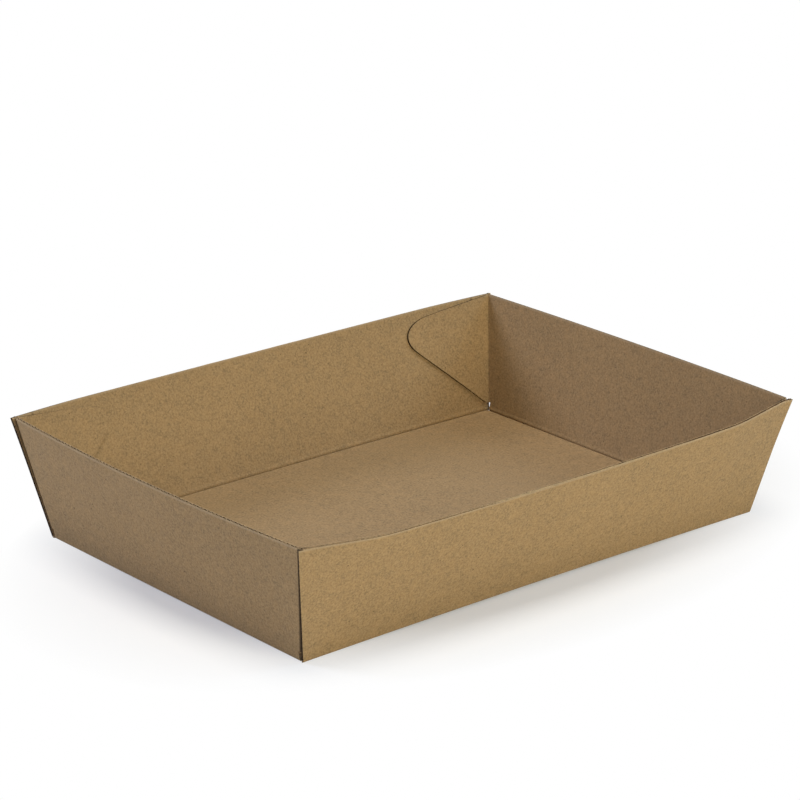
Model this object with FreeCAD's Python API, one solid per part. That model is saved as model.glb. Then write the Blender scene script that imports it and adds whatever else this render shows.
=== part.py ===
import FreeCAD, Part
import math
import os
from FreeCAD import Vector

# A food tray folded from one sheet of fine-fluted kraft board. The base carries four flared
# walls, and each short wall ends in two flaps that are glued to the inside of the long walls.
# X runs along the long walls, Y along the short walls, and Z up from the table. The origin is
# the middle of the underside. All sizes are in millimetres and measured on the outside.

# Board
board = 1.2                # thickness of the sheet
fold_round = 1.4           # radius on the outside of each fold
glue_bite = 0.12           # how far a glued flap is pressed into the wall behind it

# Outline
base_length = 252.3        # between the creases of the short walls
base_width = 174.6         # between the creases of the long walls
rim_length = 272.0         # between the short walls at the rim corners
rim_width = 198.6          # between the long walls at the rim corners
height = 54.5              # rim corners above the table

# Flutes, which run along X in the flat sheet and lie open where a cut edge crosses them
flute_pitch = 2.4          # from one wave of the middle paper to the next
liner = 0.2                # paper on each face of the board
wave_paper = 0.16          # paper of the wave
mouth_depth = 1.8          # how far the open ends are hollow

# Spring of the walls, which stand further out between the corners than at them
long_bow = 7.6             # long rim, outwards at its middle
lap_straight = 26.0        # stretch at each end of a long wall that the flap keeps straight
lap_bend = 20.0            # stretch beside it, where the wall bends
middle_share = 0.2         # part of the bow that is spread evenly along the whole wall
short_bow = 3.4            # short rim, outwards at its middle

# Glue flaps and cut corners
flap_length = 59.0         # from the rim corner to the flap's tip, before the tip is rounded
flap_drop = 8.4            # tip below the rim corner
flap_nose = 8.2            # radius of the tip
end_overhang = 1.3         # long wall past the short wall, at the rim
relief_width = 2.2         # hole where the creases meet, in from the long crease
relief_height = 4.8        # top of that hole above the table

# Values that follow from the sizes above
half_base_x = base_length / 2
half_base_y = base_width / 2
half_rim_x = rim_length / 2
half_rim_y = rim_width / 2
flare_x = half_rim_x - half_base_x
flare_y = half_rim_y - half_base_y
slant_long = math.hypot(flare_y, height)
slant_short = math.hypot(flare_x, height)
margin = 4 * board         # how far a blank or a cutter reaches past what it trims
top = height + margin
past_corner = 1 + margin / half_rim_x


def long_offset(share):
    """Outward reach of the long rim from its crease, at a share of its half length."""
    along = (1 - abs(share)) * half_rim_x
    bend = min(max((along - lap_straight) / lap_bend, 0), 1)
    lapped = min(along, lap_straight + lap_bend) - lap_bend * (bend ** 3 - bend ** 4 / 2)
    spread = along - along ** 2 / rim_length
    whole = (1 - middle_share) * (lap_straight + lap_bend / 2) + middle_share * half_rim_x / 2
    bow = long_bow * ((1 - middle_share) * lapped + middle_share * spread) / whole
    return flare_y + bow


def short_offset(share):
    """Outward reach of the short rim from its crease, at a share of its half width."""
    return flare_x + short_bow * (1 - share ** 2)


def long_lean(share):
    return math.asin(long_offset(share) / slant_long)


def short_lean(share):
    return math.asin(short_offset(share) / slant_short)


# Straight part of the base, between the rounds of its folds
slab_x = half_base_x - fold_round * math.tan((math.pi / 2 - short_lean(0)) / 2)
slab_y = half_base_y - fold_round * math.tan((math.pi / 2 - long_lean(0)) / 2)
root = fold_round + board  # where a flap starts, inward of the short wall's outer face


def long_face(share, z):
    """Outer face of the long wall at +Y, walked towards +X."""
    x = share * (half_base_x + flare_x * z / height)
    return Vector(x, half_base_y + z * math.tan(long_lean(share)), z)


def short_face(share, z):
    """Outer face of the short wall at +X, walked from +Y towards -Y."""
    y = -share * (half_base_y + flare_y * z / height)
    return Vector(half_base_x + z * math.tan(short_lean(share)), y, z)


def heading(face, share, z):
    """Level unit vector along a face."""
    step = 1e-4
    return (face(share + step, z) - face(share - step, z)).normalize()


def inset(face, lean, share, z, depth):
    """Point at a depth inside the outer face, measured square to the leaning board."""
    ahead = heading(face, share, z)
    return face(share, z) + Vector(ahead.y, -ahead.x, 0) * (depth / math.cos(lean(share)))


def line(a, b):
    return Part.makeLine(a, b)


def smooth_edge(points, shares):
    """One curved edge through the points, which lie at these shares of its length."""
    start = shares[0]
    length = shares[-1] - start
    curve = Part.BSplineCurve()
    curve.interpolate(Points=points, Parameters=[(s - start) / length for s in shares])
    return curve.toShape()


def steps(first, last, count):
    """Evenly spaced values, ends included."""
    return [first + (last - first) * i / (count - 1) for i in range(count)]


def long_shares():
    """Where a long wall is measured: often in its bends, seldom in its straight stretches."""
    bend_start = 1 - lap_straight / half_rim_x
    bend_end = 1 - (lap_straight + lap_bend) / half_rim_x
    half = steps(0, bend_end, 4)[1:-1] + steps(bend_end, bend_start, 5) + [1, past_corner]
    return [-s for s in reversed(half)] + [0] + half


def long_section(z):
    """Level section through a whole long wall, a little longer than the wall."""
    shares = long_shares()
    outer = [inset(long_face, long_lean, s, z, 0) for s in shares]
    inner = [inset(long_face, long_lean, s, z, board) for s in shares]
    return Part.Wire([smooth_edge(outer, shares), line(outer[-1], inner[-1]),
                      smooth_edge(inner, shares), line(inner[0], outer[0])])


def strip_corner(z, depth):
    """Where flap and short wall meet at a depth in the board, and how both run there."""
    on_flap = inset(long_face, long_lean, 1, z, board - glue_bite + depth)
    on_wall = inset(short_face, short_lean, -1, z, depth)
    flap_way = heading(long_face, 1, z)
    wall_way = heading(short_face, -1, z)
    across = flap_way.x * wall_way.y - flap_way.y * wall_way.x
    gap = on_wall - on_flap
    along = (gap.x * wall_way.y - gap.y * wall_way.x) / across
    return on_flap + flap_way * along, flap_way, wall_way


def other_side(point):
    return Vector(point.x, -point.y, point.z)


def strip_edges(z, depth):
    """Edges at a depth in the board along a flap, the short wall and the other flap."""
    corner = strip_corner(z, depth)[0]
    flap_depth = board - glue_bite + depth
    flap_end = 1 - 1.1 * flap_length / half_rim_x
    corner_share = 1 - board / half_rim_x
    flap_shares = steps(flap_end, corner_share, 7)
    flap = [inset(long_face, long_lean, s, z, flap_depth) for s in flap_shares[:-1]] + [corner]
    wall_shares = steps(-1, 1, 7)
    wall = [inset(short_face, short_lean, s, z, depth) for s in wall_shares[1:-1]]
    wall = [corner] + wall + [other_side(corner)]
    far_flap = [other_side(p) for p in reversed(flap)]
    far_shares = [-s for s in reversed(flap_shares)]
    return ([smooth_edge(flap, flap_shares), smooth_edge(wall, wall_shares),
             smooth_edge(far_flap, far_shares)], flap[0], far_flap[-1])


def strip_section(z):
    """Level section through a short wall with both its flaps."""
    outer, outer_start, outer_end = strip_edges(z, 0)
    inner, inner_start, inner_end = strip_edges(z, board)
    return Part.Wire(outer + [line(outer_end, inner_end)] + inner[::-1]
                     + [line(inner_start, outer_start)])


def upright_blank(section):
    """Board that stands on its crease line and reaches past the rim."""
    return Part.makeLoft([section(0), section(top)], True, True)


def rim_cutter(face, lean, slant, outward, shares):
    """Everything above the rim of one wall, with the cut square to the board."""
    sections = []
    for share in shares:
        angle = lean(share)
        z = slant * math.cos(angle)
        rim = face(share, z)
        up = outward * math.sin(angle) + Vector(0, 0, math.cos(angle))
        inward = outward * -math.cos(angle) + Vector(0, 0, math.sin(angle))
        low = rim - inward * margin
        far = rim + inward * (board + margin)
        rise = up * (2 * margin + slant - z)
        sections.append(Part.makePolygon([low, far, far + rise, low + rise, low]))
    return Part.makeLoft(sections, True, False)


def raw_end_cutter():
    """Everything past the cut end of the long walls at +X."""
    reach = half_rim_y + long_bow + margin
    lean = Vector((end_overhang + flare_x) / height, 0, 1)
    low = Vector(half_base_x, -reach, 0) - lean * margin
    high = low + lean * (2 * top)
    out = Vector(half_rim_x, 0, 0)
    outline = Part.makePolygon([low, low + out, high + out, high, low])
    return Part.Face(outline).extrude(Vector(0, 2 * reach, 0))


def fold_rounder(start, end, way_a, way_b):
    """What a round fold lacks of a sharp one. Both ways lead from the edge into the board."""
    middle = (way_a + way_b).normalize()
    half_angle = way_a.getAngle(way_b) / 2
    reach = fold_round / math.tan(half_angle)
    centre = start + middle * (fold_round / math.sin(half_angle))
    first = start + way_a * reach
    last = start + way_b * reach
    arc = Part.Arc(first, centre - middle * fold_round, last).toShape()
    first_out = first + (first - centre)
    last_out = last + (last - centre)
    corner_out = start - middle * (2 * fold_round)
    outline = Part.Wire([arc, line(last, last_out), line(last_out, corner_out),
                         line(corner_out, first_out), line(first_out, first)])
    return Part.Face(outline).extrude(end - start)


def long_rounder():
    """Rounder for the fold between the base and the long wall at +Y."""
    up = Vector(0, math.sin(long_lean(0)), math.cos(long_lean(0)))
    crease = Vector(0, half_base_y, 0)
    run = Vector(half_rim_x, 0, 0)
    return fold_rounder(crease - run, crease + run, Vector(0, -1, 0), up)


def short_rounder():
    """Rounder for the fold between the base and the short wall at +X."""
    up = Vector(math.sin(short_lean(0)), 0, math.cos(short_lean(0)))
    crease = Vector(half_base_x, 0, 0)
    run = Vector(0, half_rim_y, 0)
    return fold_rounder(crease - run, crease + run, Vector(-1, 0, 0), up)


def corner_rounder():
    """Rounder for the fold between a short wall and its flap at +X and +Y."""
    low = strip_corner(0, 0)[0]
    high, flap_way, wall_way = strip_corner(height, 0)
    rise = (high - low).normalize()
    to_flap = (flap_way * -1 + rise * flap_way.dot(rise)).normalize()
    to_wall = (wall_way - rise * wall_way.dot(rise)).normalize()
    return fold_rounder(low - rise * margin, high + rise * margin, to_flap, to_wall)


def flap_outline():
    """Flap seen along Y, from its root beside the fold to its round nose."""
    rim_corner = Vector(half_rim_x, 0, height)
    tip = Vector(half_rim_x - flap_length, 0, height - flap_drop)
    flare = flare_x / height
    root_bottom = Vector(half_base_x + flare * relief_height - root, 0, relief_height)
    top_way = (rim_corner - tip).normalize()
    low_way = (root_bottom - tip).normalize()
    root_top = rim_corner - top_way * root
    half_angle = top_way.getAngle(low_way) / 2
    nose_reach = flap_nose / math.tan(half_angle)
    nose_top = tip + top_way * nose_reach
    nose_low = tip + low_way * nose_reach
    middle = (top_way + low_way).normalize()
    nose = tip + middle * (flap_nose / math.sin(half_angle) - flap_nose)
    outline = Part.Wire([line(root_bottom, root_top), line(root_top, nose_top),
                         Part.Arc(nose_top, nose, nose_low).toShape(),
                         line(nose_low, root_bottom)])
    return Part.Face(outline), root_top, root_bottom


def flap_waste():
    """Board around the outlines of both flaps at +X, which is cut away."""
    flap, root_top, root_bottom = flap_outline()
    lean = (root_top - root_bottom) * (1 / (root_top.z - root_bottom.z))
    low = root_bottom - lean * (root_bottom.z + margin)
    high = root_top + lean * (2 * top - root_top.z)
    back = half_rim_x - 1.3 * flap_length
    frame = Part.makePolygon([low, high, Vector(back, 0, high.z), Vector(back, 0, low.z), low])
    reach = half_rim_y + long_bow + margin
    return Part.Face(frame).cut(flap).translated(Vector(0, -reach, 0)).extrude(
        Vector(0, 2 * reach, 0))


def both_ends(shape):
    """The shape and its mirror image at the other short wall."""
    return [shape, shape.mirror(Vector(0, 0, 0), Vector(1, 0, 0))]


def both_sides(shape):
    """The shape and its mirror image at the other long wall."""
    return [shape, shape.mirror(Vector(0, 0, 0), Vector(0, 1, 0))]


def beside_long_wall(y, low):
    """Everything from here towards the long wall at +Y, up to the top of the corner hole."""
    return Part.makeBox(half_rim_x, half_rim_y, relief_height - low, Vector(0, y, low))


def flute_mouth(edge, along, inward, into, number):
    """Open end of one flute: a wedge under one liner that narrows towards the other."""
    if number % 2:
        foot = edge + inward * (board - liner)
        inward = inward * -1
    else:
        foot = edge + inward * liner
    half = flute_pitch / 2 - wave_paper
    peak = inward * (board - 2 * liner - wave_paper)
    foot -= into * mouth_depth
    outline = Part.makePolygon([foot - along * half, foot + along * half, foot + peak,
                                foot - along * half])
    return Part.Face(outline).extrude(into * (2 * mouth_depth))


def rim_mouths():
    """Open flutes along the rim of the short wall at +X."""
    mouths = []
    last = int(2 * (strip_corner(height, board)[0].y - fold_round) / flute_pitch)
    for number in range(-last, last + 1):
        y = -number * flute_pitch / 2
        angle = short_lean(y / half_rim_y)
        z = slant_short * math.cos(angle)
        face = short_face(-y / half_rim_y, z)
        along = heading(short_face, -y / half_rim_y, z)
        inward = Vector(-math.cos(angle), 0, math.sin(angle))
        down = Vector(-math.sin(angle), 0, -math.cos(angle))
        mouths.append(flute_mouth(Vector(face.x, y, z), along, inward, down, number))
    return mouths


def raw_end_mouths():
    """Open flutes along the cut end of the long wall at +X and +Y."""
    mouths = []
    angle = long_lean(1)
    up = Vector(0, math.sin(angle), math.cos(angle))
    inward = Vector(0, -math.cos(angle), math.sin(angle))
    last = int(2 * (slant_long - root) / flute_pitch) - 1
    for number in range(1, last):
        z = (slant_long - number * flute_pitch / 2) * math.cos(angle)
        corner = long_face(1, z)
        into = heading(long_face, 1, z) * -1
        edge = corner - into * (end_overhang * z / height)
        mouths.append(flute_mouth(edge, up, inward, into, number))
    return mouths


def long_wall():
    """Long wall at +Y, from its crease to its rim and between its cut ends."""
    rim = rim_cutter(long_face, long_lean, slant_long, Vector(0, 1, 0), long_shares())
    ends = [raw_end_cutter()] + raw_end_mouths()
    return upright_blank(long_section).cut([rim] + [copy for end in ends for copy in both_ends(end)])


def end_strip():
    """Short wall at +X with its two flaps, cut clear of the long walls at the base corners."""
    rim = rim_cutter(short_face, short_lean, slant_short, Vector(1, 0, 0),
                     steps(-past_corner, past_corner, 9))
    waste = [corner_rounder(), beside_long_wall(slab_y, -margin),
             beside_long_wall(half_base_y - relief_width, board)]
    corners = [copy for piece in waste for copy in both_sides(piece)]
    return upright_blank(strip_section).cut([flap_waste(), rim] + corners).cut(rim_mouths())


def at_corners(shape):
    """The shape mirrored to all four corners."""
    return [copy for side in both_sides(shape) for copy in both_ends(side)]


def corner_foot():
    """Base under the end of the long wall at +X and +Y, beside the fold of the short wall."""
    foot = Part.makeBox(margin, half_base_y - slab_y, board, Vector(slab_x, slab_y, 0))
    return foot.cut(raw_end_cutter())


def long_tub():
    """Base with the two long walls and their round folds."""
    slab = Part.makeBox(2 * slab_x, base_width, board, Vector(-slab_x, -half_base_y, 0))
    parts = both_sides(long_wall()) + at_corners(corner_foot())
    return slab.fuse(parts).cut(both_sides(long_rounder()) + both_ends(short_rounder()))


def short_tub():
    """Base with the two short walls, their flaps and their round folds."""
    slab = Part.makeBox(base_length, 2 * slab_y, board, Vector(-half_base_x, -slab_y, 0))
    return slab.fuse(both_ends(end_strip())).cut(both_ends(short_rounder()))


def make_tray():
    return long_tub().fuse(short_tub()).removeSplitter()


os.makedirs("parts", exist_ok=True)
tray = make_tray()
print("tray: solids", len(tray.Solids), "valid", tray.isValid(), "volume", round(tray.Volume))
tray.exportStep("parts/tray.step")
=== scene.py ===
import math

import bmesh
import bpy
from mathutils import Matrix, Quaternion, Vector, noise


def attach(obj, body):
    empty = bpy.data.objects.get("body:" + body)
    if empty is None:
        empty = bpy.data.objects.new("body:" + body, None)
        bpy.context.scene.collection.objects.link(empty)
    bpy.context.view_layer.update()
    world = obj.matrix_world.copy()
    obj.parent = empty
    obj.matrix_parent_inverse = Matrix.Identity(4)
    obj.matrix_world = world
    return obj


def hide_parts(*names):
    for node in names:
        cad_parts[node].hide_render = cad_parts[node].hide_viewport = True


# A food tray folded from one die-cut sheet of fine-fluted kraft board. The sheet is cut out
# flat, gets its open flute edges, and is then folded up: base, four flared walls, and the
# four flaps that are glued to the inside of the long walls. Sizes below are in millimetres,
# except those of the lamps and the floor.

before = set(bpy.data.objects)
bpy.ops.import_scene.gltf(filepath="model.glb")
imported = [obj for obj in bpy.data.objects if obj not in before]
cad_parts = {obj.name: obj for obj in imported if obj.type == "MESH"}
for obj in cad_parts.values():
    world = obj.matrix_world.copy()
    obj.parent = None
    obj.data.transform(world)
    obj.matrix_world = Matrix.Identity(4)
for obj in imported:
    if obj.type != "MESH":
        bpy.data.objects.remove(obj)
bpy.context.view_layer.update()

MM = 0.001

# Board
board = 1.2
fold_round = 1.4
glue_bite = 0.12
liner = 0.2
wave_paper = 0.16
flute_pitch = 2.4
flute_skew = 0.006
mouth_depth = 1.8

# Outline
half_base_x = 126.15
half_base_y = 87.3
half_rim_x = 136.0
half_rim_y = 99.3
height = 54.5
flare_x = half_rim_x - half_base_x
flare_y = half_rim_y - half_base_y
slant_long = math.hypot(flare_y, height)
slant_short = math.hypot(flare_x, height)
lean_x = math.asin(flare_x / slant_short)
lean_y = math.asin(flare_y / slant_long)
end_overhang = 1.3

# Shape that the folded sheet has taken
base_arch = 0.9
tip_spring = {(1, -1): 0.9, (-1, 1): 0.5, (1, 1): 0.2, (-1, -1): 0.15}
tip_start = 5
tip_reach = 6
rim_top = 54.92
lap_straight = 26.0
lap_bend = 20.0
middle_share = 0.2
long_bow = {-1: 7.5, 1: 7.4}
short_bow = {-1: 3.1, 1: 3.3}

# Flaps and corner holes
flap_length = 59.0
flap_drop = 8.4
flap_nose = 8.2
relief_width = 2.2
relief_height = 4.8
foot_width = 1.2
flap_root = fold_round + board
slab_edge = fold_round * math.tan((math.pi / 2 - lean_x) / 2)
raw_end_slope = 0.2

# Camera, fitted to the photograph, in degrees and millimetres
camera_lens = 146.87
camera_azimuth = -40.15
camera_elevation = 19.498
camera_distance = 1421.97
camera_aim = (5.36, 9.34, 54.34)

# Light. Each lamp has its azimuth and elevation in degrees, its width in metres, and its power.
world_level = 0.16
lamp_distance = 1.6
lamps = (("overhead_lamp", 0, 88, 0.6, 11.6, (1, 0.955, 0.875)),
         ("window_lamp", -140, 32, 0.5, 13, (0.70, 0.77, 1)),
         ("front_lamp", 2, 18, 0.6, 12.3, (1, 0.94, 0.68)),
         ("side_lamp", 60, 35, 0.6, 6.4, (0.5, 0.7, 1)))

# Ellipse on the floor, in metres. To the camera the floor fades to white between two shares of its
# reach, and is partly white inside. The ellipse paints the outline of the tray's shadow, and the
# white inside it is painted light that lightens the cast shadow.
pool_middle = (0.0061, -0.0011, 0)
pool_turn = 4.9
pool_half_sizes = (0.2064, 0.1423, 1)
pool_fade_start = 0.68
pool_fade_end = 1.02
pool_least_white = 0.25


def long_offset(share, side):
    """Outward reach of a long rim from its crease, at a share of its half length."""
    along = (1 - abs(share)) * half_rim_x
    bend = min(max((along - lap_straight) / lap_bend, 0), 1)
    lapped = min(along, lap_straight + lap_bend) - lap_bend * (bend ** 3 - bend ** 4 / 2)
    spread = along - along ** 2 / (2 * half_rim_x)
    whole = (1 - middle_share) * (lap_straight + lap_bend / 2) + middle_share * half_rim_x / 2
    bow = long_bow[side] * ((1 - middle_share) * lapped + middle_share * spread) / whole
    return flare_y + bow


def long_lean(share, side):
    """Angle from upright of a long wall, at a share of its half length."""
    return math.asin(long_offset(share, side) / slant_long)


def short_lean(share, side):
    """Angle from upright of a short wall, at a share of its half length."""
    return math.asin((flare_x + short_bow[side] * (1 - share ** 2)) / slant_short)


def round_fold(start, crease, end, turn, share):
    """Point on the round of a fold, from its start to its end past the sharp crease."""
    weight = 2 * math.cos(turn / 2) * share * (1 - share)
    first = (1 - share) ** 2
    last = share ** 2
    return (start * first + crease * weight + end * last) / (first + weight + last)


def long_wall_point(share, z, depth, side):
    """Point of the long wall at +Y, at a height on its outer face and deep in the board."""
    lean = long_lean(share, side)
    step = 1e-3
    reach = half_base_x + flare_x * z / height
    rise = z * (math.tan(long_lean(share + step, side)) - math.tan(long_lean(share - step, side)))
    ahead = Vector((2 * step * reach, rise)).normalized()
    level = depth * math.cos(lean)
    return Vector((share * reach + ahead.y * level,
                   half_base_y + z * math.tan(lean) - ahead.x * level,
                   z + depth * math.sin(lean)))


def short_wall_point(share, z, depth, side):
    """Point of the short wall at +X, at a height on its outer face and deep in the board."""
    lean = short_lean(share, side)
    step = 1e-3
    reach = half_base_y + flare_y * z / height
    rise = z * (math.tan(short_lean(share + step, side)) - math.tan(short_lean(share - step, side)))
    ahead = Vector((2 * step * reach, rise)).normalized()
    level = depth * math.cos(lean)
    return Vector((half_base_x + z * math.tan(lean) - ahead.x * level,
                   share * reach + ahead.y * level,
                   z + depth * math.sin(lean)))


def fold_long(a, b, depth, side):
    """Folds up the sheet beside the long crease at +Y."""
    up = b - half_base_y
    slope = max(up, 0) / slant_long
    share = a / (half_base_x + flare_x * slope)
    lean = long_lean(share, side)
    turn = math.pi / 2 - lean
    reach = fold_round * math.tan(turn / 2)
    if up <= -reach:
        return Vector((a, b, depth))
    if up >= reach:
        return long_wall_point(share, up * math.cos(lean), depth, side)
    start = Vector((a, half_base_y - reach, depth))
    end = long_wall_point(share, reach * math.cos(lean), depth, side)
    out = depth * math.tan(turn / 2)
    crease = Vector((a, half_base_y + out * math.sin(lean) - depth * math.cos(lean), depth))
    return round_fold(start, crease, end, turn, (up + reach) / (2 * reach))


def corner_reach(up):
    """Half width of a short wall up to its corner fold, as it lies in the flat sheet."""
    glued = (board - glue_bite) / math.cos(lean_y)
    return half_base_y + flare_y * up / slant_short - glued


def flap_point(up, out, depth, end, side):
    """Point of a flap, against the inside of the long wall."""
    z = up * math.cos(lean_x)
    low = z - (board - glue_bite) * math.sin(lean_y)
    share = corner_reach(up) / (half_base_y + flare_y * up / slant_short)
    corner = half_base_x + z * math.tan(short_lean(share, end))
    along = (corner - out) / (half_base_x + flare_x * low / height)
    return long_wall_point(along, low, board - glue_bite + depth, side)


def wall_strip_point(up, b, depth, end):
    """Point of the short wall at +X, with its round fold from the base."""
    share = b / (half_base_y + flare_y * max(up, 0) / slant_short)
    lean = short_lean(share, end)
    turn = math.pi / 2 - lean
    reach = fold_round * math.tan(turn / 2)
    if up <= -reach:
        return Vector((half_base_x + up, b, depth))
    if up >= reach:
        return short_wall_point(share, up * math.cos(lean), depth, end)
    start = Vector((half_base_x - reach, b, depth))
    stop = short_wall_point(share, reach * math.cos(lean), depth, end)
    out = depth * math.tan(turn / 2)
    crease = Vector((half_base_x + out * math.sin(lean) - depth * math.cos(lean), b, depth))
    return round_fold(start, crease, stop, turn, (up + reach) / (2 * reach))


def fold_short(a, b, depth, end, side):
    """Folds up the sheet past the short crease at +X, with its flap at +Y."""
    up = a - half_base_x
    corner = corner_reach(max(up, 0))
    past = b - corner
    if past <= -fold_round:
        return wall_strip_point(up, b, depth, end)
    if past >= fold_round:
        return flap_point(up, past, depth, end, side)
    start = wall_strip_point(up, corner - fold_round, depth, end)
    stop = flap_point(up, fold_round, depth, end, side)
    wall_way = start - wall_strip_point(up, corner - 2 * fold_round, depth, end)
    flap_way = stop - flap_point(up, 2 * fold_round, depth, end, side)
    across = wall_way.x * flap_way.y - wall_way.y * flap_way.x
    gap = stop - start
    along = (gap.x * flap_way.y - gap.y * flap_way.x) / across
    crease = start + wall_way * along
    crease.z = (start.z + stop.z) / 2
    return round_fold(start, crease, stop, math.pi / 2, (past + fold_round) / (2 * fold_round))


def in_short_strip(a, b):
    """Tells the short wall and its flap from the long wall beside them in the flat sheet."""
    if b < half_base_y - relief_width / 2:
        return a > half_base_x - 2 * fold_round
    return a - half_base_x > 0.43 * (b - half_base_y) + 0.3 * relief_height


def fold_up(flat):
    """Where a point of the flat sheet lies in the folded tray. Its Z is the depth in the board."""
    end = 1 if flat.x > 0 else -1
    side = 1 if flat.y > 0 else -1
    a = abs(flat.x)
    b = abs(flat.y)
    inner = max(flat.z / board, 0) ** 2
    if in_short_strip(a, b):
        depth = flat.z + inner * crease_press(a - half_base_x)
        point = fold_short(a, b, depth, end, side)
    else:
        depth = flat.z + inner * crease_press(b - half_base_y)
        point = fold_long(a, b, depth, side)
        spring = tip_spring[end, side] * max((a - half_base_x - tip_start) / tip_reach, 0) ** 2
        point += Vector((0, spring, -0.5 * spring))
    arch = base_arch * (1 - (point.x / half_base_x) ** 2) * (1 - point.z / height)
    return Vector((point.x * end, point.y * side, min(max(point.z + max(arch, 0), 0), rim_top)))


def flat_of_flap(x, z):
    """Place in the flat sheet of a flap's point that is given by its X and Z in the tray."""
    up = z / math.cos(lean_x)
    corner = half_base_x + flare_x * z / height
    return Vector((half_base_x + up, corner_reach(up) + corner - x, 0))


def crease_press(up):
    """How deep the score presses the inside of the board in, and how its lips bulge out."""
    groove = 0.42 * math.exp(-(up / 0.55) ** 2)
    lips = 0.2 * math.exp(-((abs(up) - 1.9) / 0.7) ** 2)
    return lips - groove


def cut(sheet, faces, point, normal):
    """Scores the faces along a plane, so that they can bend there."""
    edges = list({edge for face in faces for edge in face.edges})
    verts = list({vert for face in faces for vert in face.verts})
    bmesh.ops.bisect_plane(sheet, geom=verts + edges + faces, dist=1e-4,
                           plane_co=point, plane_no=normal)


def score_lines(sheet):
    """Scores the quarter sheet wherever it has to bend."""
    crease = (-3.2, -2.5, -1.9, -1.4, -0.9, -0.45, 0, 0.45, 0.9, 1.4, 1.9, 2.5, 3.2)
    bends = [half_base_x + step for step in crease]
    bends += [4 + 6 * i for i in range(14)]
    bends += [88 + 3 * i for i in range(12)]
    bends += [133 + 6 * i for i in range(8)]
    for a in bends:
        cut(sheet, sheet.faces[:], Vector((a, 0, 0)), Vector((1, 0, 0)))
    bends = [half_base_y + step for step in crease]
    bends += [4 + 6 * i for i in range(14)]
    bends += [94 + 6 * i for i in range(9)]
    for b in bends:
        cut(sheet, sheet.faces[:], Vector((0, b, 0)), Vector((0, 1, 0)))
    rise = flare_y / slant_short
    normal = Vector((-rise, 1, 0))
    for t in (-1, -0.66, -0.33, 0, 0.33, 0.66, 1):
        point = Vector((half_base_x, corner_reach(0) + t * fold_round, 0))
        strip = []
        for face in sheet.faces:
            middle = face.calc_center_median()
            if middle.x > half_base_x and in_short_strip(middle.x, middle.y):
                strip.append(face)
        cut(sheet, strip, point, normal)


def flap_tip():
    """Sharp tip of a flap in the flat sheet, before its nose is rounded."""
    return flat_of_flap(half_rim_x - flap_length, height - flap_drop)


def flap_root_bottom():
    """Lower end of a flap's root, at the top of the corner hole."""
    face = half_base_x + flare_x * relief_height / height
    return flat_of_flap(face - flap_root, relief_height)


def mirror_all(sheet, axis):
    """Mirrors the piece across the middle and welds it there."""
    bmesh.ops.mirror(sheet, geom=sheet.verts[:] + sheet.edges[:] + sheet.faces[:],
                     axis=axis, merge_dist=1e-3)


def quarter_blank():
    """Quarter of the die-cut sheet, flat on the table: X along the long walls."""
    sheet = bmesh.new()
    tip_x = half_rim_x + end_overhang
    long_rim = half_base_y + slant_long
    short_rim = half_base_x + slant_short
    hole_side = half_base_y - relief_width
    hole_top = half_base_x + relief_height / math.cos(lean_x)
    corner = flat_of_flap(half_rim_x, height)
    tip = flap_tip()
    root = flap_root_bottom()
    outline = [(0, 0), (short_rim, 0), (short_rim, corner.y), (tip.x, tip.y), (root.x, root.y),
               (hole_top, hole_side), (half_base_x - slab_edge, hole_side),
               (half_base_x - slab_edge, half_base_y - foot_width),
               (half_base_x, half_base_y - foot_width), (half_base_x, half_base_y),
               (tip_x, long_rim), (0, long_rim)]
    verts = [sheet.verts.new((x, y, 0)) for x, y in outline]
    sheet.faces.new(verts)
    top_way = (verts[2].co - verts[3].co).normalized()
    low_way = (verts[4].co - verts[3].co).normalized()
    nose_reach = flap_nose / math.tan(top_way.angle(low_way) / 2)
    bmesh.ops.bevel(sheet, geom=[verts[3]], offset=nose_reach, offset_type="OFFSET",
                    segments=10, profile=0.5, affect="VERTICES", material=-1)
    score_lines(sheet)
    return sheet


def whole_blank():
    """The whole sheet, mirrored from its quarter and given its thickness."""
    sheet = quarter_blank()
    mirror_all(sheet, "X")
    mirror_all(sheet, "Y")
    bmesh.ops.recalc_face_normals(sheet, faces=sheet.faces[:])
    if sheet.faces[0].normal.z > 0:
        bmesh.ops.reverse_faces(sheet, faces=sheet.faces[:])
    bmesh.ops.solidify(sheet, geom=sheet.faces[:], thickness=board)
    return sheet


def open_edges(sheet):
    """Hollows the cut edges between the two liners, except round the corner holes."""
    sheet.normal_update()
    sides = [face for face in sheet.faces if abs(face.normal.z) < 0.5]
    rims = []
    for face in sides:
        middle = face.calc_center_median()
        a = abs(middle.x)
        b = abs(middle.y)
        near_hole = (a < half_base_x + relief_height + 2 and b < half_base_y + 4
                     and not (b > half_base_y + 1 and a < half_base_x + 2))
        if not near_hole:
            rims.append(face)
    bmesh.ops.inset_region(sheet, faces=rims, thickness=liner, use_boundary=True,
                           use_even_offset=True)
    deep = bmesh.ops.extrude_face_region(sheet, geom=rims)["geom"]
    bmesh.ops.delete(sheet, geom=rims, context="FACES")
    sheet.normal_update()
    bottoms = set(deep)
    moves = {}
    for vert in deep:
        if isinstance(vert, bmesh.types.BMVert):
            floor = [face for face in vert.link_faces if face in bottoms]
            way = sum((face.normal for face in floor), Vector()).normalized()
            at_long_rim = abs(vert.co.y) > half_base_y + slant_long - 0.01
            closed = 0.2 + 1.1 * max(noise.noise(vert.co * 0.021), 0)
            moves[vert] = way * -(min(closed, mouth_depth) if at_long_rim else mouth_depth)
    for vert, move in moves.items():
        vert.co += move


def finish_piece(sheet, name):
    """Turns a finished mesh into an object at the origin."""
    mesh = bpy.data.meshes.new(name)
    sheet.to_mesh(mesh)
    sheet.free()
    piece = bpy.data.objects.new(name, mesh)
    bpy.context.scene.collection.objects.link(piece)
    return piece


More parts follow.
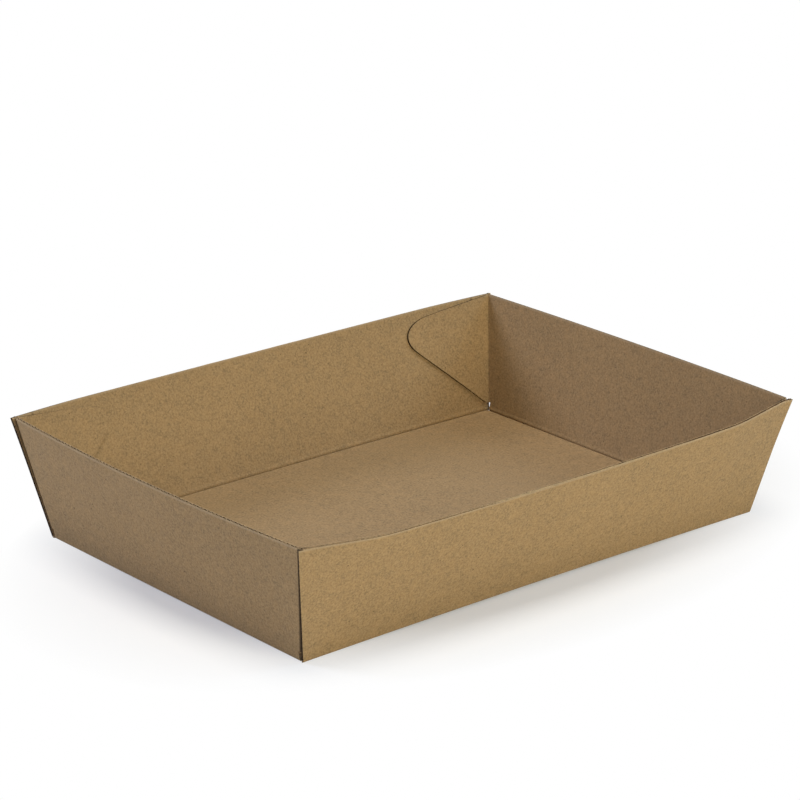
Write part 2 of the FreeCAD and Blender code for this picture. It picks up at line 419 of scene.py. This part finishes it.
def wave(flat):
    """Height of the middle paper in the board. The die cut lies a little askew to its flutes."""
    swing = (board - 2 * liner - wave_paper) / 2
    across = flat.y + flute_skew * flat.x
    return board / 2 + swing * math.sin(2 * math.pi * across / flute_pitch)


def wave_strip(paper, path, length, depth, along, across):
    """Middle paper behind one cut edge. The path gives a point and the way into the sheet."""
    strip = bmesh.ops.create_grid(paper, x_segments=along, y_segments=across, size=0.5)["verts"]
    for vert in strip:
        edge, inward = path((vert.co.x + 0.5) * length)
        ragged = 0.12 * noise.noise(edge * 1.7) if vert.co.y < -0.499 else 0
        place = edge + inward * ((vert.co.y + 0.5) * depth + 0.06 + ragged)
        vert.co = Vector((place.x, place.y, wave(place)))


def straight(start, end):
    """Path along a straight cut edge, with the sheet on its left."""
    way = (end - start).normalized()
    inward = Vector((-way.y, way.x, 0))
    return lambda at: (start + way * at, inward)


def flap_path(corner, tip, root):
    """Path along a flap's cut edge: its top, its round nose and its slanted lower side."""
    top_way = (tip - corner).normalized()
    low_way = (root - tip).normalized()
    turn = top_way.angle(low_way)
    reach = flap_nose * math.tan(turn / 2)
    top_length = (tip - corner).length - reach
    nose_length = flap_nose * turn
    low_length = (root - tip).length - reach
    to_sheet = Vector((-top_way.y, top_way.x, 0))
    centre = corner + top_way * top_length + to_sheet * flap_nose

    def at_length(at):
        if at <= top_length:
            return corner + top_way * at, to_sheet
        if at >= top_length + nose_length:
            past = at - top_length - nose_length
            inward = Vector((-low_way.y, low_way.x, 0))
            return centre - inward * flap_nose + low_way * past, inward
        angle = (at - top_length) / flap_nose
        inward = to_sheet.copy()
        inward.rotate(Quaternion((0, 0, 1), angle))
        return centre - inward * flap_nose, inward

    return at_length, top_length + nose_length + low_length


def middle_paper():
    """The waved paper between the liners, where the cut edges lay it open."""
    paper = bmesh.new()
    tip_x = half_rim_x + end_overhang
    long_rim = half_base_y + slant_long
    short_rim = half_base_x + slant_short
    corner = flat_of_flap(half_rim_x, height)
    low_end = Vector((half_base_x, half_base_y + 1.5, 0))
    high_end = Vector((tip_x, long_rim, 0))
    wave_strip(paper, straight(low_end, high_end), (high_end - low_end).length, mouth_depth, 180, 1)
    flap, length = flap_path(corner, flap_tip(), flap_root_bottom())
    wave_strip(paper, flap, length, 0.7 * mouth_depth, 330, 3)
    mirror_all(paper, "Y")
    rim = straight(Vector((short_rim, -corner.y, 0)), Vector((short_rim, corner.y, 0)))
    wave_strip(paper, rim, 2 * corner.y, mouth_depth, 640, 1)
    mirror_all(paper, "X")
    for side in (1, -1):
        rim = straight(Vector((side * tip_x, side * long_rim, 0)),
                       Vector((-side * tip_x, side * long_rim, 0)))
        wave_strip(paper, rim, 2 * tip_x, mouth_depth, 60, 6)
    bmesh.ops.recalc_face_normals(paper, faces=paper.faces[:])
    bmesh.ops.solidify(paper, geom=paper.faces[:], thickness=wave_paper)
    bmesh.ops.recalc_face_normals(paper, faces=paper.faces[:])
    return paper


def fold_piece(sheet, name):
    """Folds a flat piece up, and keeps its flat place as an attribute for the materials."""
    flat = [vert.co.copy() for vert in sheet.verts]
    for vert in sheet.verts:
        vert.co = fold_up(vert.co) * MM
    bmesh.ops.recalc_face_normals(sheet, faces=sheet.faces[:])
    piece = finish_piece(sheet, name)
    place = piece.data.attributes.new("sheet", "FLOAT_VECTOR", "POINT")
    place.data.foreach_set("vector", [value for point in flat for value in point])
    return piece


def folded_board():
    """The whole board. Its faces are liner, cut edge or the inside of the flutes, whose material is
    painted near black as shade.
    """
    sheet = whole_blank()
    open_edges(sheet)
    for face in sheet.faces:
        depths = [vert.co.z for vert in face.verts]
        if max(depths) < 0.01 or min(depths) > board - 0.01:
            face.material_index = 0
        elif min(depths) < 0.01 or max(depths) > board - 0.01:
            face.material_index = 1
        else:
            face.material_index = 2
    return fold_piece(sheet, "folded_board")


def new_group(name, inputs, outputs):
    """Empty shader group with its sockets, given as (label, kind) pairs."""
    group = bpy.data.node_groups.new(name, "ShaderNodeTree")
    for label, kind in inputs:
        group.interface.new_socket(name=label, in_out="INPUT", socket_type=kind)
    for label, kind in outputs:
        group.interface.new_socket(name=label, in_out="OUTPUT", socket_type=kind)
    return group, group.nodes.new("NodeGroupInput"), group.nodes.new("NodeGroupOutput")


def noise_node(tree, vector, size, detail, roughness=0.6):
    """Noise whose cells are about this many millimetres across."""
    node = tree.nodes.new("ShaderNodeTexNoise")
    node.inputs["Scale"].default_value = 1 / (size * MM)
    node.inputs["Detail"].default_value = detail
    node.inputs["Roughness"].default_value = roughness
    tree.links.new(vector, node.inputs["Vector"])
    return node.outputs["Fac"]


def spread(tree, value, low, high, to_low, to_high, smooth=False):
    """Maps a value from one range to another and holds it at the ends."""
    node = tree.nodes.new("ShaderNodeMapRange")
    node.clamp = True
    if smooth:
        node.interpolation_type = "SMOOTHSTEP"
    tree.links.new(value, node.inputs["Value"])
    node.inputs["From Min"].default_value = low
    node.inputs["From Max"].default_value = high
    node.inputs["To Min"].default_value = to_low
    node.inputs["To Max"].default_value = to_high
    return node.outputs["Result"]


def calculate(tree, operation, first, second=None):
    """Math node on two sockets or numbers."""
    node = tree.nodes.new("ShaderNodeMath")
    node.operation = operation
    for socket, value in zip(node.inputs, (first, second)):
        if value is None:
            continue
        if isinstance(value, (int, float)):
            socket.default_value = value
        else:
            tree.links.new(value, socket)
    return node.outputs["Value"]


def blend(tree, kind, factor, first, second):
    """Colour mix; each value is a socket, a number or a colour."""
    node = tree.nodes.new("ShaderNodeMix")
    node.data_type = "RGBA"
    node.blend_type = kind
    colours = [socket for socket in node.inputs if socket.type == "RGBA"]
    for socket, value in zip([node.inputs[0]] + colours, (factor, first, second)):
        if isinstance(value, (int, float, tuple)):
            socket.default_value = value
        else:
            tree.links.new(value, socket)
    return [socket for socket in node.outputs if socket.type == "RGBA"][0]


def paper_mottle():
    """Cloudy pulp, fine fibre grain and dark specks of unbleached paper."""
    tree, given, result = new_group(
        "paper_mottle",
        [("Vector", "NodeSocketVector"), ("Colour", "NodeSocketColor"),
         ("Strength", "NodeSocketFloat")],
        [("Colour", "NodeSocketColor"), ("Height", "NodeSocketFloat"),
         ("Roughness", "NodeSocketFloat")])
    vector = given.outputs["Vector"]
    grain = noise_node(tree, vector, 0.9, 3, 0.7)
    pulp = noise_node(tree, vector, 3.5, 3, 0.6)
    cloud = noise_node(tree, vector, 38, 2, 0.5)
    shade = 1.0
    for field, weight in ((grain, 0.62), (pulp, 0.16), (cloud, 0.07)):
        change = calculate(tree, "MULTIPLY", spread(tree, field, 0.3, 0.7, -0.5, 0.5), weight)
        change = calculate(tree, "MULTIPLY", change, given.outputs["Strength"])
        shade = calculate(tree, "ADD", shade, change)
    combine = tree.nodes.new("ShaderNodeCombineColor")
    for socket in combine.inputs:
        tree.links.new(shade, socket)
    toned = blend(tree, "MULTIPLY", 1.0, given.outputs["Colour"], combine.outputs["Color"])
    warm = spread(tree, pulp, 0.35, 0.65, 0, 0.16)
    toned = blend(tree, "MIX", warm, toned, (0.40, 0.235, 0.10, 1))
    speck_field = noise_node(tree, vector, 1.3, 1, 0.4)
    speck = spread(tree, speck_field, 0.775, 0.80, 0, 0.7)
    toned = blend(tree, "MIX", speck, toned, (0.07, 0.04, 0.02, 1))
    tree.links.new(toned, result.inputs["Colour"])
    tree.links.new(calculate(tree, "ADD", grain, calculate(tree, "MULTIPLY", pulp, 0.5)),
                   result.inputs["Height"])
    tree.links.new(spread(tree, pulp, 0.3, 0.7, 0.78, 0.92), result.inputs["Roughness"])
    return tree


def crease_lines():
    """Masks along the creases, the cut rims, the raw ends and the corner folds, from the place in
    the flat sheet. The materials paint shade along the creases, raw ends and corner folds.
    """
    tree, given, result = new_group(
        "crease_lines", [("Sheet", "NodeSocketVector")],
        [("Crease", "NodeSocketFloat"), ("Rim", "NodeSocketFloat"), ("Inner", "NodeSocketFloat"),
         ("Cut end", "NodeSocketFloat"), ("Corner fold", "NodeSocketFloat")])
    parts = tree.nodes.new("ShaderNodeSeparateXYZ")
    tree.links.new(given.outputs["Sheet"], parts.inputs[0])
    along = calculate(tree, "ABSOLUTE", parts.outputs["X"])
    across = calculate(tree, "ABSOLUTE", parts.outputs["Y"])
    from_short = calculate(tree, "ABSOLUTE", calculate(tree, "SUBTRACT", along, half_base_x))
    from_long = calculate(tree, "ABSOLUTE", calculate(tree, "SUBTRACT", across, half_base_y))
    off_short = spread(tree, along, half_base_x, half_base_x + 1.5, 0, 9)
    from_long = calculate(tree, "ADD", from_long, off_short)
    nearest = calculate(tree, "MINIMUM", from_short, from_long)
    tree.links.new(spread(tree, nearest, 0.2, 1.1, 1, 0, True), result.inputs["Crease"])
    to_long = calculate(tree, "SUBTRACT", half_base_y + slant_long, across)
    to_short = calculate(tree, "SUBTRACT", half_base_x + slant_short, along)
    edge = calculate(tree, "MINIMUM", to_long, to_short)
    tree.links.new(spread(tree, edge, 0.1, 1.2, 1, 0, True), result.inputs["Rim"])
    tree.links.new(spread(tree, parts.outputs["Z"], 0, board, 0, 1), result.inputs["Inner"])
    # Where the raw ends of the long walls lie; the materials paint shade there.
    flare = calculate(tree, "MULTIPLY", calculate(tree, "SUBTRACT", across, half_base_y),
                      raw_end_slope)
    past = calculate(tree, "SUBTRACT", calculate(tree, "SUBTRACT", along, half_base_x), flare)
    beside = spread(tree, across, half_rim_y, half_rim_y + 2, 0, 1)
    low = spread(tree, past, 3, 4, 1, 0)
    ends = calculate(tree, "MULTIPLY", spread(tree, past, -2.4, -2, 0, 1),
                     calculate(tree, "MAXIMUM", beside, low))
    on_wall = spread(tree, across, half_base_y - 0.5, half_base_y, 0, 1)
    tree.links.new(calculate(tree, "MULTIPLY", ends, on_wall), result.inputs["Cut end"])
    # Beside the corner folds; the materials paint shade there.
    up = calculate(tree, "SUBTRACT", along, half_base_x)
    fold_line = calculate(tree, "MULTIPLY", up, flare_y / slant_short)
    beyond = calculate(tree, "SUBTRACT", calculate(tree, "SUBTRACT", across, fold_line),
                       corner_reach(0) - 0.2)
    beside_fold = spread(tree, calculate(tree, "ABSOLUTE", beyond), 0.4, 1.3, 1, 0, True)
    tree.links.new(calculate(tree, "MULTIPLY", beside_fold, spread(tree, up, 0.5, 2, 0, 1)),
                   result.inputs["Corner fold"])
    return tree


mottle_group = paper_mottle()
crease_group = crease_lines()


def use_group(tree, group):
    """Places a shared shader group in a material."""
    node = tree.nodes.new("ShaderNodeGroup")
    node.node_tree = group
    return node


def paper_material(name, colour, strength, bump, crease_shade_and_pale_rim=False, shaded=False):
    """Kraft paper with the shared mottle. Faces of the board get painted shade along the inner
    creases and corner folds and a pale line at the rims, and its ends get painted shade.
    """
    material = bpy.data.materials.new(name)
    material.use_nodes = True
    tree = material.node_tree
    shader = tree.nodes["Principled BSDF"]
    shader.inputs["Specular IOR Level"].default_value = 0.25
    place = tree.nodes.new("ShaderNodeTexCoord")
    mottle = use_group(tree, mottle_group)
    tree.links.new(place.outputs["Object"], mottle.inputs["Vector"])
    mottle.inputs["Colour"].default_value = colour
    mottle.inputs["Strength"].default_value = strength
    finish = mottle.outputs["Colour"]
    sheet = tree.nodes.new("ShaderNodeAttribute")
    sheet.attribute_name = "sheet"
    lines = use_group(tree, crease_group)
    tree.links.new(sheet.outputs["Vector"], lines.inputs["Sheet"])
    if shaded:
        # Painted shade: near the raw ends of the long walls the paper goes near black, for the
        # shadow in their open flutes and in the gap beside the corner fold.
        dark = calculate(tree, "MULTIPLY", lines.outputs["Cut end"], 0.85)
        finish = blend(tree, "MIX", dark, finish, (0.045, 0.026, 0.013, 1))
    if crease_shade_and_pale_rim:
        # Painted shade along the inner creases, where the score's groove lies in shadow.
        inside = calculate(tree, "MULTIPLY", lines.outputs["Crease"], lines.outputs["Inner"])
        dark = calculate(tree, "MULTIPLY", inside, 0.6)
        finish = blend(tree, "MIX", dark, finish, (0.10, 0.058, 0.026, 1))
        pale = calculate(tree, "MULTIPLY", lines.outputs["Rim"], 0.5)
        finish = blend(tree, "MIX", pale, finish, (0.47, 0.36, 0.23, 1))
        # Painted shade in the crevice of the corner folds, darker on their outer face.
        fold_shade = spread(tree, lines.outputs["Inner"], 0, 1, 0.8, 0.3)
        dark = calculate(tree, "MULTIPLY", lines.outputs["Corner fold"], fold_shade)
        finish = blend(tree, "MIX", dark, finish, (0.05, 0.03, 0.015, 1))
    tree.links.new(finish, shader.inputs["Base Color"])
    tree.links.new(mottle.outputs["Roughness"], shader.inputs["Roughness"])
    relief = tree.nodes.new("ShaderNodeBump")
    relief.inputs["Strength"].default_value = bump
    relief.inputs["Distance"].default_value = 0.05 * MM
    tree.links.new(mottle.outputs["Height"], relief.inputs["Height"])
    tree.links.new(relief.outputs["Normal"], shader.inputs["Normal"])
    return material


kraft = paper_material("kraft_liner", (0.335, 0.225, 0.112, 1), 1.0, 0.8, crease_shade_and_pale_rim=True)
cut_paper = paper_material("cut_paper_edge", (0.40, 0.29, 0.17, 1), 1.2, 0.8, shaded=True)
# Painted shade: the inside of the open flutes gets a near-black colour for the shade in the
# hollows, not the brown of its paper.
painted_flute_shade = paper_material("painted_flute_shade", (0.08, 0.041, 0.015, 1), 1.0, 0.5, shaded=True)
wave_finish = paper_material("wave_paper", (0.48, 0.35, 0.20, 1), 1.0, 0.5, shaded=True)

tray = folded_board()
for finish in (kraft, cut_paper, painted_flute_shade):
    tray.data.materials.append(finish)
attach(tray, "root")
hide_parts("tray")

waves = fold_piece(middle_paper(), "middle_paper")
waves.data.materials.append(wave_finish)
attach(waves, "root")


def seen_white(tree):
    """One for rays from the camera, and for those that reflections and clear things pass on."""
    rays = tree.nodes.new("ShaderNodeLightPath")
    return calculate(tree, "MAXIMUM", rays.outputs["Is Camera Ray"],
                     calculate(tree, "MAXIMUM", rays.outputs["Is Glossy Ray"],
                               rays.outputs["Is Transmission Ray"]))


def table_top():
    """Plain pale floor with the tray's cast shadow. To the camera it fades to white outside an
    ellipse round the tray, which paints the shadow's outline, and inside the ellipse painted white
    lightens the shadow.
    """
    plane = bmesh.new()
    bmesh.ops.create_grid(plane, x_segments=1, y_segments=1, size=4)
    piece = finish_piece(plane, "table_top")
    material = bpy.data.materials.new("white_table")
    material.use_nodes = True
    tree = material.node_tree
    shader = tree.nodes["Principled BSDF"]
    shader.inputs["Base Color"].default_value = (0.9, 0.9, 0.9, 1)
    shader.inputs["Roughness"].default_value = 0.9
    shader.inputs["Specular IOR Level"].default_value = 0.1
    place = tree.nodes.new("ShaderNodeTexCoord")
    pool = tree.nodes.new("ShaderNodeMapping")
    pool.vector_type = "TEXTURE"
    pool.inputs["Location"].default_value = pool_middle
    pool.inputs["Rotation"].default_value = (0, 0, math.radians(pool_turn))
    pool.inputs["Scale"].default_value = pool_half_sizes
    tree.links.new(place.outputs["Object"], pool.inputs["Vector"])
    reach = tree.nodes.new("ShaderNodeVectorMath")
    reach.operation = "LENGTH"
    tree.links.new(pool.outputs["Vector"], reach.inputs[0])
    # Share of painted white over the floor's shading, which gives the shadow its outline and
    # lightens it inside.
    painted_white_share = spread(tree, reach.outputs["Value"], pool_fade_start, pool_fade_end,
                 pool_least_white, 1)
    glow = tree.nodes.new("ShaderNodeEmission")
    mix = tree.nodes.new("ShaderNodeMixShader")
    tree.links.new(calculate(tree, "MULTIPLY", painted_white_share, seen_white(tree)), mix.inputs["Fac"])
    tree.links.new(shader.outputs["BSDF"], mix.inputs[1])
    tree.links.new(glow.outputs["Emission"], mix.inputs[2])
    tree.links.new(mix.outputs["Shader"], tree.nodes["Material Output"].inputs["Surface"])
    piece.data.materials.append(material)


table_top()


def studio():
    """Even white surroundings, which the camera sees at a strength of one."""
    world = bpy.data.worlds.new("studio")
    world.use_nodes = True
    tree = world.node_tree
    soft = tree.nodes["Background"]
    soft.inputs["Color"].default_value = (1, 1, 1, 1)
    soft.inputs["Strength"].default_value = world_level
    white = tree.nodes.new("ShaderNodeBackground")
    mix = tree.nodes.new("ShaderNodeMixShader")
    tree.links.new(seen_white(tree), mix.inputs["Fac"])
    tree.links.new(soft.outputs["Background"], mix.inputs[1])
    tree.links.new(white.outputs["Background"], mix.inputs[2])
    tree.links.new(mix.outputs["Shader"], tree.nodes["World Output"].inputs["Surface"])
    bpy.context.scene.world = world


def softbox(name, azimuth, elevation, width, power, colour):
    """Square lamp aimed at the middle of the tray."""
    lamp = bpy.data.lights.new(name, "AREA")
    lamp.shape = "SQUARE"
    lamp.size = width
    lamp.energy = power
    lamp.color = colour
    holder = bpy.data.objects.new(name, lamp)
    bpy.context.scene.collection.objects.link(holder)
    turn = math.radians(azimuth)
    rise = math.radians(elevation)
    away = Vector((math.sin(turn) * math.cos(rise), -math.cos(turn) * math.cos(rise),
                   math.sin(rise)))
    holder.location = away * lamp_distance
    holder.rotation_euler = away.to_track_quat("Z", "Y").to_euler()


def camera():
    """Camera at the photograph's angle."""
    lens = bpy.data.cameras.new("camera")
    lens.sensor_width = 36
    lens.lens = camera_lens
    lens.clip_end = 20
    holder = bpy.data.objects.new("camera", lens)
    bpy.context.scene.collection.objects.link(holder)
    azimuth = math.radians(camera_azimuth)
    elevation = math.radians(camera_elevation)
    back = Vector((math.sin(azimuth) * math.cos(elevation),
                   -math.cos(azimuth) * math.cos(elevation), math.sin(elevation)))
    holder.location = (Vector(camera_aim) + back * camera_distance) * MM
    holder.rotation_euler = back.to_track_quat("Z", "Y").to_euler()
    bpy.context.scene.camera = holder


studio()
for lamp in lamps:
    softbox(*lamp)
camera()
bpy.context.scene.view_settings.view_transform = "Standard"
